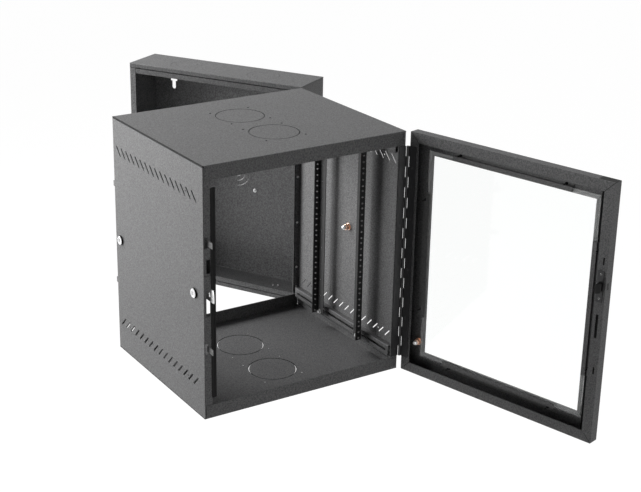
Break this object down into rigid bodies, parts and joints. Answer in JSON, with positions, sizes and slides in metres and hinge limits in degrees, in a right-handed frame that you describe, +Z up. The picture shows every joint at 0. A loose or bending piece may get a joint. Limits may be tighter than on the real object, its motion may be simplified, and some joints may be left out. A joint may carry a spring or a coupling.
{
  "type": "wall mount network cabinet",
  "caption": "Swing-out wall cabinet for 19 inch network equipment: a shallow wall section, a deep hinged body with rack rails and vents, and a framed glass door with a sprung latch.",
  "frame": {"origin": "centre of the wall section's rear face, which lies on the wall", "axes": "+Y into the wall, +Z up, +X to the right as seen from in front of the wall; the body stands 60 degrees open and the door 105 degrees open at rest"},
  "size_m": [1.4601, 0.8246, 0.6044],
  "materials": {
    "black_powder_coat": "fine textured black powder coat",
    "black_steel": "smooth black coated steel",
    "bright_steel": "bright zinc-plated steel",
    "chrome": "polished chrome plate",
    "copper": "copper-coloured plating on earth nuts",
    "clear_glass": "clear toughened glass",
    "black_rubber": "soft black sealing strip",
    "black_plastic": "moulded black plastic"
  },
  "bodies": {
    "wall_section": {"wall_pan": "black_powder_coat", "wall_top_panel": "black_powder_coat", "wall_bottom_panel": "black_powder_coat", "wall_top_brace": "black_powder_coat", "wall_bottom_brace": "black_powder_coat", "wall_earth_stud": "bright_steel", "wall_earth_nuts": "bright_steel", "swing_hinge_wall_leaf": "black_steel", "swing_hinge_pin": "black_steel", "swing_hinge_wall_screws": "bright_steel"},
    "main_body": {"top_panel": "black_powder_coat", "floor_panel": "black_powder_coat", "left_side_panel": "black_powder_coat", "right_side_panel": "black_powder_coat", "upper_left_brace": "black_powder_coat", "upper_right_brace": "black_powder_coat", "lower_left_brace": "black_powder_coat", "lower_right_brace": "black_powder_coat", "front_left_rail": "black_powder_coat", "front_right_rail": "black_powder_coat", "rear_left_rail": "black_powder_coat", "rear_right_rail": "black_powder_coat", "rail_bolts": "bright_steel", "rail_spacers": "bright_steel", "rail_nuts": "bright_steel", "door_strike_plate": "black_steel", "door_seal_strip": "black_rubber", "guide_tongues": "black_steel", "body_earth_stud": "bright_steel", "body_earth_nuts": "copper", "front_lock_housing": "chrome", "rear_lock_housing": "chrome", "lock_nuts": "bright_steel", "swing_hinge_body_leaf": "black_steel", "swing_hinge_body_screws": "bright_steel", "door_hinge_body_leaf": "black_steel", "door_hinge_pin": "black_steel", "door_hinge_body_screws": "bright_steel"},
    "door": {"door_frame": "black_powder_coat", "door_glass": "clear_glass", "glass_gasket": "black_rubber", "glass_clip_latch_side": "black_powder_coat", "glass_clip_hinge_side": "black_powder_coat", "glass_clip_bottom": "black_powder_coat", "glass_clip_top": "black_powder_coat", "glass_clip_studs": "black_steel", "glass_clip_nuts": "black_steel", "door_earth_stud": "bright_steel", "door_earth_nuts": "copper", "latch_plate": "black_steel", "latch_case": "black_plastic", "latch_screws": "black_steel", "latch_spring": "bright_steel", "door_hinge_door_leaf": "black_steel", "door_hinge_door_screws": "bright_steel"},
    "latch": {"latch_tongue": "black_plastic"},
    "front_lock": {"front_lock_plug": "chrome", "front_lock_cam": "bright_steel"},
    "rear_lock": {"rear_lock_plug": "chrome", "rear_lock_cam": "bright_steel"}
  },
  "joints": [
    {"name": "cabinet_swing", "type": "hinge", "parent": "wall_section", "child": "main_body", "pos_m": [0.2694, -0.12815, 0], "axis": [0, 0, 1], "range_deg": [-60, 30]},
    {"name": "door_hinge", "type": "hinge", "parent": "main_body", "child": "door", "pos_m": [0.6673, -0.35637, 0], "axis": [0, 0, 1], "range_deg": [-105, 75]},
    {"name": "door_latch", "type": "slide", "parent": "door", "child": "latch", "axis": [-0.9659, 0.2588, 0], "range_m": [0, 0.0035], "stiffness_N_per_m": 400, "springref_m": -0.005, "deforming": ["latch_spring"]},
    {"name": "front_lock_turn", "type": "hinge", "parent": "main_body", "child": "front_lock", "pos_m": [0.35733, -0.79795, -0.00515], "axis": [0.5, 0.866, 0], "range_deg": [0, 25]},
    {"name": "rear_lock_turn", "type": "hinge", "parent": "main_body", "child": "rear_lock", "pos_m": [0.02729, -0.6074, -0.00515], "axis": [-0.5, -0.866, 0], "range_deg": [0, 25]}
  ]
}
